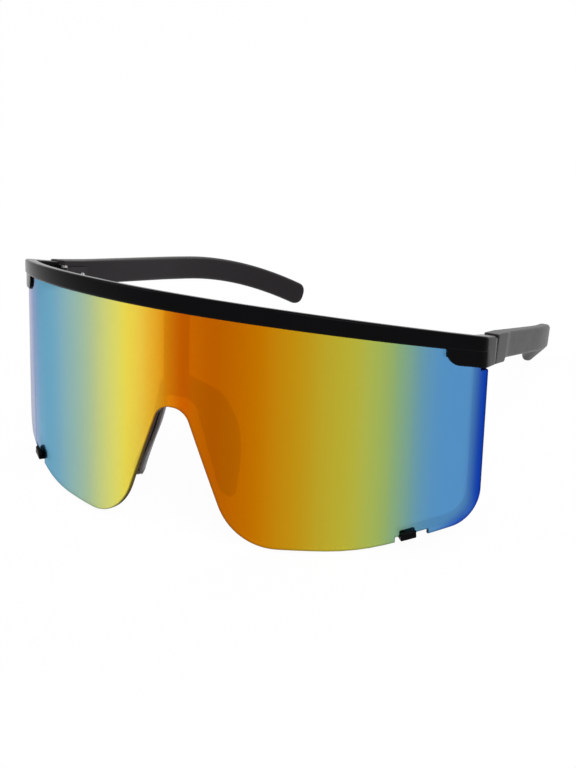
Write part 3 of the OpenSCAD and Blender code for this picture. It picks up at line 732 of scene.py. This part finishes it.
def temple_lengths():
    """Where a temple's sections lie: close together at the block's step, the bevel and the tip."""
    crisp, arm_step, bends, tips = 0.12, 4.0, 36, 10
    bevel_end = BLOCK_L + BEVEL_L
    return ([BLOCK_L * share for share in (-0.2, 0.2, 0.5, 0.8)]
            + [BLOCK_L + STEP_EASE * k / 4 for k in range(-3, 4)]
            + [BLOCK_L + STEP_EASE + crisp, bevel_end - crisp, bevel_end + crisp]
            + [bevel_end + arm_step * (k + 0.75) for k in range(8)]
            + [mix(ARM_STRAIGHT, TIP_START, k / bends) for k in range(bends)]
            + [TIP_START + TIP_R * sin(90 * k / tips) for k in range(tips + 1)])


def thinned(ring, share, side):
    """A ring pressed together across the tip by a share of its thickness."""
    middle = sum((Vector(p) for p in ring), Vector()) / len(ring)
    across = (HINGE_TURN @ Vector((cos(TIP_TURN), -sin(TIP_TURN), 0))).normalized()
    across.x *= side
    return [Vector(p) - across * (Vector(p) - middle).dot(across) * share for p in ring]


def make_temple(name, side):
    """A temple: its front block, the bevel and the arm that turns in and down to its tip."""
    inner = HINGE_OUT - BLOCK_T
    half = ARM_H / 2
    step = BLOCK_H - ARM_H
    rings = []
    for l in temple_lengths():
        block = min(1.0, max(0.0, (BLOCK_L - l) / STEP_EASE + 0.5))
        block = block * block * (3 - 2 * block)
        thick = BLOCK_T if l < BLOCK_L else mix(BLOCK_T, ARM_T, min(1, (l - BLOCK_L) / BEVEL_L))
        if l > ARM_STRAIGHT:
            thick = mix(ARM_T, ARM_TIP_T, (l - ARM_STRAIGHT) / (TEMPLE_L - ARM_STRAIGHT))
        over = max(0.0, l - TIP_START)
        close = TIP_R - math.sqrt(max(0.0, TIP_R ** 2 - over ** 2))
        low = -half - step * block + close * TIP_ROUND_SHARE
        high = half - close * TIP_ROUND_SHARE
        soft = mix(BLOCK_SOFT_R, ARM_SOFT_R, min(1, max(0, (l - BLOCK_L) / SOFT_RUN)))
        ring = temple_ring(side, l, inner + thick, low, high, soft)
        rings.append(thinned(ring, TIP_THIN_SHARE * close / TIP_R, side) if close > 0 else ring)
    temple = cut_at_gap(lofted(name, rings), side, 1)
    return cut(temple, joined("cutter", hinge_room_parts(side, LEAF_TEMPLE_L, 1)))


# Materials

def srgb(r, g, b):
    def part(v):
        v = v / 255
        return v / 12.92 if v <= 0.04045 else ((v + 0.055) / 1.055) ** 2.4
    return (part(r), part(g), part(b), 1)


def new_material(name, colour, roughness, metallic=0.0, level=0.5):
    material = bpy.data.materials.new(name)
    material.use_nodes = True
    material.diffuse_color = colour
    shader = material.node_tree.nodes["Principled BSDF"]
    shader.inputs["Base Color"].default_value = colour
    shader.inputs["Roughness"].default_value = roughness
    shader.inputs["Metallic"].default_value = metallic
    shader.inputs["Specular IOR Level"].default_value = level
    return material, shader


def add_node(material, kind, **values):
    node = material.node_tree.nodes.new(kind)
    for key, value in values.items():
        if key in node.inputs:
            node.inputs[key].default_value = value
        else:
            setattr(node, key, value)
    return node


def link(material, a, b):
    material.node_tree.links.new(a, b)


def object_noise(material, scale, detail):
    place = add_node(material, "ShaderNodeTexCoord")
    noise = add_node(material, "ShaderNodeTexNoise", Scale=scale, Detail=detail)
    link(material, place.outputs["Object"], noise.inputs["Vector"])
    return noise.outputs["Fac"]


def ranged(material, value, low, high, to_low=0.0, to_high=1.0, curve="LINEAR"):
    """The value from low to high, turned into one from to_low to to_high."""
    node = add_node(material, "ShaderNodeMapRange", interpolation_type=curve)
    node.inputs["From Min"].default_value = low
    node.inputs["From Max"].default_value = high
    node.inputs["To Min"].default_value = to_low
    node.inputs["To Max"].default_value = to_high
    link(material, value, node.inputs["Value"])
    return node.outputs["Result"]


def math_node(material, operation, a, b, c=None):
    node = add_node(material, "ShaderNodeMath", operation=operation)
    for k, value in enumerate((a, b, c)):
        if value is None:
            continue
        if isinstance(value, (int, float)):
            node.inputs[k].default_value = value
        else:
            link(material, value, node.inputs[k])
    return node.outputs[0]


def bumped(material, shader, height, strength, depth):
    """Bumps as high as depth, in millimetres, times strength."""
    bump = add_node(material, "ShaderNodeBump", Strength=strength, Distance=depth * MM)
    link(material, height, bump.inputs["Height"])
    link(material, bump.outputs["Normal"], shader.inputs["Normal"])


def roughened(material, shader, scale, detail, rough):
    """A gloss that changes over the surface between the two values of rough."""
    fac = ranged(material, object_noise(material, scale, detail), 0.3, 0.7, *rough)
    link(material, fac, shader.inputs["Roughness"])


def two_tone(material, shader, fac, low, high, low_colour, high_colour):
    ramp = add_node(material, "ShaderNodeValToRGB")
    ramp.color_ramp.elements[0].position = low
    ramp.color_ramp.elements[0].color = low_colour
    ramp.color_ramp.elements[1].position = high
    ramp.color_ramp.elements[1].color = high_colour
    link(material, fac, ramp.inputs["Fac"])
    link(material, ramp.outputs["Color"], shader.inputs["Base Color"])


def moulded_plastic(name, dark, light, rough, level, grain, strength):
    """Dark moulded plastic: faint flow marks in its colour, a fine grain, and a changing gloss."""
    material, shader = new_material(name, light, rough[0], level=level)
    flow = object_noise(material, scale=60, detail=2)
    two_tone(material, shader, flow, 0.3, 0.75, dark, light)
    roughened(material, shader, scale=240, detail=5, rough=rough)
    bumped(material, shader, object_noise(material, grain, detail=2), strength, depth=0.02)
    return material


def frame_material():
    return moulded_plastic("frame_gloss", srgb(7, 7, 8), srgb(10, 10, 12), rough=(0.14, 0.20),
                           level=0.025, grain=2600, strength=0.10)


def temple_material():
    return moulded_plastic("temple_satin", srgb(30, 26, 29), srgb(33, 29, 32), rough=(0.36, 0.39),
                           level=0.12, grain=3600, strength=0.10)


def bridge_material():
    return moulded_plastic("bridge_satin", srgb(22, 21, 23), srgb(30, 29, 31), rough=(0.30, 0.42),
                           level=0.30, grain=3200, strength=0.3)


def rubber_material():
    """Soft grey rubber: mottled, with a fine pitted skin and a little sheen."""
    material, shader = new_material("pad_soft", srgb(70, 66, 70), 0.6, level=0.35)
    mottle = object_noise(material, scale=300, detail=4)
    two_tone(material, shader, mottle, 0.35, 0.7, srgb(64, 60, 64), srgb(80, 76, 80))
    roughened(material, shader, scale=500, detail=4, rough=(0.52, 0.7))
    bumped(material, shader, object_noise(material, scale=4200, detail=2), strength=0.35, depth=0.03)
    shader.inputs["Sheen Weight"].default_value = 0.12
    shader.inputs["Sheen Roughness"].default_value = 0.5
    return material


def metal_material(name, colour, rough, lines):
    """Hinge metal: fine drawn lines, as many per metre along each axis as lines says, and small scuffs."""
    material, shader = new_material(name, colour, rough[0], metallic=1.0)
    place = add_node(material, "ShaderNodeTexCoord")
    stretch = add_node(material, "ShaderNodeMapping")
    stretch.inputs["Scale"].default_value = lines
    drawn = add_node(material, "ShaderNodeTexNoise", Scale=1.0, Detail=3.0)
    link(material, place.outputs["Object"], stretch.inputs["Vector"])
    link(material, stretch.outputs["Vector"], drawn.inputs["Vector"])
    scuff = object_noise(material, scale=700, detail=5)
    link(material, ranged(material, scuff, 0.35, 0.7, *rough), shader.inputs["Roughness"])
    darker_share = 0.72
    darker = tuple(darker_share * c for c in colour[:3]) + (1,)
    two_tone(material, shader, scuff, 0.3, 0.6, darker, colour)
    bumped(material, shader, drawn.outputs["Fac"], strength=0.25, depth=0.01)
    return material


# The lens's colours from the wearer's right to the left, at lengths along the lens: lilac, blue, pale
# teal, green-yellow, yellow, gold, orange, burnt orange, amber, olive, sage and blue again
LENS_COLOURS = [(-84, (150, 160, 205)), (-72, (162, 180, 216)), (-63, (140, 190, 216)),
                (-46, (152, 195, 208)), (-30, (190, 209, 167)), (-17, (238, 228, 105)),
                (-9, (243, 206, 72)), (-3, (234, 166, 31)), (2, (222, 116, 3)), (7, (208, 111, 1)),
                (14, (201, 108, 0)), (26, (208, 137, 7)), (38, (203, 172, 39)), (50, (192, 192, 76)),
                (58, (160, 188, 120)), (64, (124, 172, 172)), (70, (98, 160, 206)), (84, (96, 158, 208))]
# Painted shade colours: a strong blue for the dark rim seen through the lens, and a grey that darkens the
# lens's cut edge
RIM_SHADE_BLUE, CUT_EDGE_SHADE = (16, 68, 192), (60, 58, 60)
# Painted shade in a strong blue by the lens's left edge, for the dark rim seen through it: where it starts
# and ends before the edge, how softly it turns the lower corner, and how it leaves the lower edge from one
# length along the lens to another
FADE_START, FADE_END, FADE_TURN = 5.9, 0.7, 6.0
FADE_LOW_S, FADE_LOW_OFF = (79, 60), (0.8, 9)
# A thin line of painted shade along the same edge, for the dark rim seen through the lens: where it starts
# and is full before the edge, and how dark it is
LINE_START, LINE_FULL, LINE_SHADE_SHARE, CUT_SHADE_SHARE = 0.6, 0.25, 0.8, 0.85


def lens_ramp(material, along):
    """The colour bands at a length along the lens."""
    ramp = add_node(material, "ShaderNodeValToRGB")
    ramp.color_ramp.interpolation = "CARDINAL"
    elements = ramp.color_ramp.elements
    elements.remove(elements[1])
    for k, (s, colour) in enumerate(LENS_COLOURS):
        place = (s + LENS_HALF) / LENS_W
        element = elements[0] if k == 0 else elements.new(place)
        element.position = place
        element.color = srgb(*colour)
    link(material, ranged(material, along, -LENS_HALF, LENS_HALF), ramp.inputs["Fac"])
    return ramp.outputs["Color"]


def left_edge(material, along, height):
    """Distance from the lens's left edge and its lower corner there."""
    from_side = math_node(material, "SUBTRACT", LENS_HALF, along)
    slope = tan(CHEEK_SLOPE)
    low_edge = math_node(material, "MULTIPLY_ADD", along, slope, -LENS_DROP - CHEEK_S * slope)
    from_low = math_node(material, "SUBTRACT", height, low_edge)
    off = ranged(material, along, *FADE_LOW_S, *FADE_LOW_OFF)
    from_corner = math_node(material, "ADD", from_low, off)
    return math_node(material, "SMOOTH_MIN", from_side, from_corner, FADE_TURN)


def mixed(material, blend_type, factor, a, b):
    node = add_node(material, "ShaderNodeMix", data_type="RGBA", blend_type=blend_type)
    link(material, factor, node.inputs["Factor"])
    link(material, a, node.inputs["A"])
    node.inputs["B"].default_value = b
    return node.outputs["Result"]


def lens_material():
    """A mirrored lens: upright bands of colour, with painted shade in deeper blue where the rim lies behind
    its edge and on its cut edge.
    """
    material, shader = new_material("lens_mirror", srgb(200, 150, 40), 0.12, metallic=0.66)
    along, height, rim = (add_node(material, "ShaderNodeAttribute", attribute_name=name).outputs["Fac"]
                          for name in ("lens_along", "lens_height", "lens_edge"))
    edge = left_edge(material, along, height)
    # Painted shade of the dark rim seen through the lens: the bands turn blue near its left edge
    deep = ranged(material, edge, FADE_START, FADE_END, curve="SMOOTHSTEP")
    bands = mixed(material, "MIX", deep, lens_ramp(material, along), srgb(*RIM_SHADE_BLUE))
    # Painted shade: the cut edge is darker than the faces, to dim the bright light its rounded edge
    # catches, and so is a thin line beside it for the dark rim seen through the lens
    dark = math_node(material, "MAXIMUM", ranged(material, rim, 0.3, 1.0, 0.0, CUT_SHADE_SHARE),
                     ranged(material, edge, LINE_START, LINE_FULL, 0.0, LINE_SHADE_SHARE))
    colour = mixed(material, "MULTIPLY", dark, bands, srgb(*CUT_EDGE_SHADE))
    link(material, colour, shader.inputs["Base Color"])
    link(material, colour, shader.inputs["Specular Tint"])
    shader.inputs["Transmission Weight"].default_value = 1.0
    shader.inputs["IOR"].default_value = 1.25
    roughened(material, shader, scale=60, detail=4, rough=(0.10, 0.15))
    bumped(material, shader, object_noise(material, scale=1500, detail=2), strength=0.03, depth=0.01)
    return material


# Pieces

def dress(obj, material, slot, body, *replaced):
    """Gives a piece its material and body, and hides the nodes it replaces; its slot is not used."""
    obj.data.materials.clear()
    obj.data.materials.append(material)
    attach(obj, body)
    if replaced:
        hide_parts(*replaced)
    return obj


def dress_node(name, material):
    """Gives a node of the frame its material."""
    obj = frame["nodes"][name]
    obj.data.materials.clear()
    obj.data.materials.append(material)


def make_object():
    dress(make_front(), frame_material(), "frame_plastic", "front", "front_frame")
    dress(make_lens(), lens_material(), "lens_gradient", "front", "lens")
    dress(make_bridge(), bridge_material(), "bridge_plastic", "front", "nose_bridge")
    rubber = rubber_material()
    satin = temple_material()
    steel = metal_material("hinge_dark", srgb(54, 50, 53), (0.32, 0.44), lines=(900, 900, 9000))
    screw = metal_material("screw_bright", srgb(214, 214, 218), (0.14, 0.28), lines=(6000, 6000, 900))
    for word, side in SIDES.items():
        pad = make_pad(f"nose_pad_{word}_soft", side)
        dress(pad, rubber, "pad_rubber", "front", f"nose_pad_{word}")
        temple = make_temple(f"temple_{word}_arm", side)
        dress(temple, satin, "temple_plastic", f"temple_{word}", f"temple_{word}")
        for node in ("hinge_front_leaf", "hinge_temple_leaf"):
            dress_node(f"{node}_{word}", steel)
        for node in (f"hinge_pin_{word}", f"front_leaf_screws_{word}", f"temple_leaf_screws_{word}"):
            dress_node(node, screw)


# Camera, found from the photograph: where it looks from, its roll, distance and aim
CAM_TURN, CAM_RISE, CAM_ROLL = 27.0, 18.677, 1.608
CAM_FOCAL_PX, CAM_DISTANCE, CAM_AIM = 1816.6, 459.5, (30.05, -18.27)
CAM_CLIP_M = (0.01, 20)
PHOTO_H, SENSOR = 768, 36.0


def make_camera():
    """The photograph's camera, placed in the shared frame."""
    forward = Vector((-sin(CAM_TURN) * cos(CAM_RISE), cos(CAM_TURN) * cos(CAM_RISE), -sin(CAM_RISE)))
    flat = Vector((cos(CAM_TURN), sin(CAM_TURN), 0))
    rise = flat.cross(forward)
    right = cos(CAM_ROLL) * flat + sin(CAM_ROLL) * rise
    up = -sin(CAM_ROLL) * flat + cos(CAM_ROLL) * rise
    place = CAM_AIM[0] * right + CAM_AIM[1] * up - CAM_DISTANCE * forward
    data = bpy.data.cameras.new("camera")
    data.sensor_width = SENSOR
    data.lens = SENSOR * CAM_FOCAL_PX / PHOTO_H
    data.clip_start, data.clip_end = CAM_CLIP_M
    camera = bpy.data.objects.new("camera", data)
    bpy.context.scene.collection.objects.link(camera)
    turned = Matrix([STAND @ right, STAND @ up, STAND @ -forward]).transposed()
    camera.matrix_world = Matrix.Translation(stand(place)) @ turned.to_4x4()
    bpy.context.scene.camera = camera


# Lamps: place and size in metres, and watts. All aim at the middle of the glasses.
LAMPS = {"key": ((0.9, -0.9, 1.1), (0.9, 0.9), 14),
         "fill": ((-1.1, -0.7, 0.8), (1.0, 1.0), 7),
         "back": ((0.2, 1.2, 0.9), (1.0, 0.6), 6)}
LAMP_AIM = (0, 0, 0.03)
# How brightly the world and the floor glow for other rays, and for those of camera, gloss and glass
WORLD_GLOW, FLOOR_GLOW = (0.55, 1.0), (0.0, 0.95)
FLOOR_HALF_M = 3.0


def area_lamp(name, place, size, watts):
    data = bpy.data.lights.new(name, "AREA")
    data.shape = "RECTANGLE"
    data.size, data.size_y = size
    data.energy = watts
    lamp = bpy.data.objects.new(name, data)
    bpy.context.scene.collection.objects.link(lamp)
    lamp.location = place
    way = Vector(LAMP_AIM) - Vector(place)
    lamp.rotation_euler = way.to_track_quat("-Z", "Y").to_euler()


def seen_share(material, strengths):
    """The second strength for rays of the camera, of gloss and of glass, and the first for the rest."""
    path = add_node(material, "ShaderNodeLightPath")
    total = math_node(material, "ADD", path.outputs["Is Camera Ray"], path.outputs["Is Glossy Ray"])
    total = math_node(material, "ADD", total, path.outputs["Is Transmission Ray"])
    total = math_node(material, "MINIMUM", total, 1.0)
    return ranged(material, total, 0, 1, *strengths)


def make_world():
    world = bpy.data.worlds.new("studio")
    world.use_nodes = True
    background = world.node_tree.nodes["Background"]
    background.inputs["Color"].default_value = (1, 1, 1, 1)
    link(world, seen_share(world, WORLD_GLOW), background.inputs["Strength"])
    bpy.context.scene.world = world


def make_floor():
    """A pale floor that stays white to the camera but for the object's soft shadow."""
    half = FLOOR_HALF_M
    mesh = bpy.data.meshes.new("floor")
    corners = [(-half, -half, 0), (half, -half, 0), (half, half, 0), (-half, half, 0)]
    mesh.from_pydata(corners, [], [(0, 1, 2, 3)])
    floor = bpy.data.objects.new("floor", mesh)
    bpy.context.scene.collection.objects.link(floor)
    material, shader = new_material("floor_white", (0.9, 0.9, 0.9, 1), 0.9, level=0.0)
    glow = add_node(material, "ShaderNodeEmission")
    glow.inputs["Color"].default_value = (1, 1, 1, 1)
    both = add_node(material, "ShaderNodeMixShader")
    link(material, seen_share(material, FLOOR_GLOW), both.inputs["Fac"])
    link(material, shader.outputs["BSDF"], both.inputs[1])
    link(material, glow.outputs["Emission"], both.inputs[2])
    link(material, both.outputs["Shader"], material.node_tree.nodes["Material Output"].inputs["Surface"])
    mesh.materials.append(material)


def make_studio():
    scene = bpy.context.scene
    scene.view_settings.view_transform = "Standard"
    make_world()
    make_floor()
    for name, (place, size, watts) in LAMPS.items():
        area_lamp(name, place, size, watts)


make_camera()
make_object()
make_studio()
